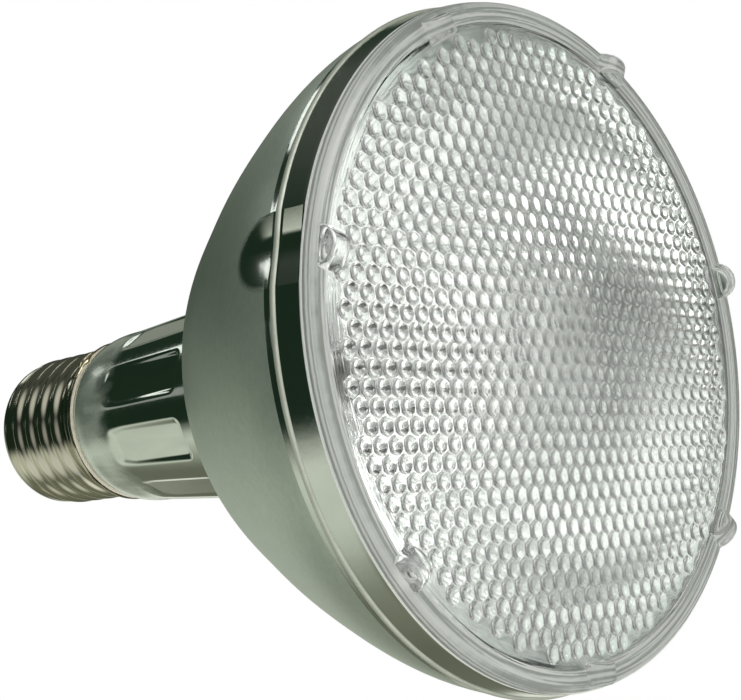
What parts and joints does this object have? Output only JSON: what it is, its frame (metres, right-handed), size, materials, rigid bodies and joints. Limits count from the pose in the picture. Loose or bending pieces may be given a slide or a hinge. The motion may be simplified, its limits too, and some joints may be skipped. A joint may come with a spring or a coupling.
{
  "type": "metal halide reflector lamp",
  "caption": "Long-necked metal halide reflector lamp: stippled clear glass lens with rounded lugs, silvered glass bowl, panelled neck and bright medium screw base.",
  "frame": {"origin": "on the lamp's axis, in the plane through the tips of the lens lugs, on which the lamp stands", "axes": "+Z along the lamp's axis from the lens to the centre contact; -Y faces the side that the picture shows"},
  "size_m": [0.0956, 0.0956, 0.1207],
  "materials": {
    "mirrored_glass": "satin aluminised glass",
    "clear_glass": "clear pressed glass, stippled inside",
    "seal": "clear bond line",
    "nickel_shell": "bright nickel plate",
    "black_glass": "black glass",
    "contact_metal": "plain brass",
    "solder": "tin solder, dull bright",
    "side_solder": "bronze-coloured solder",
    "cement": "matt cement",
    "quartz": "clear quartz",
    "alumina": "translucent sintered ceramic",
    "tungsten": "drawn metal",
    "frit": "fused frit",
    "wire": "drawn wire",
    "getter": "matt grey strip",
    "foil": "thin foil",
    "shield": "bright disc",
    "lead": "nickel wire",
    "sleeve": "woven glass sleeve"
  },
  "bodies": {
    "root": {"reflector_body": "mirrored_glass", "front_lens": "clear_glass", "lens_seal": "seal", "screw_shell": "nickel_shell", "base_insulator": "black_glass", "center_contact": "contact_metal", "contact_solder": "solder", "side_solder": "side_solder", "basing_cement": "cement", "burner_envelope": "quartz", "arc_tube": "alumina", "front_electrode": "tungsten", "back_electrode": "tungsten", "frit_seals": "frit", "return_wire": "wire", "support_wire": "wire", "getter_strip": "getter", "pinch_foils": "foil", "pinch_pins": "wire", "pinch_cement": "cement", "heat_shield": "shield", "crimp_sleeves": "wire", "center_lead": "lead", "side_lead": "lead", "lead_sleeve": "sleeve"}
  },
  "joints": []
}
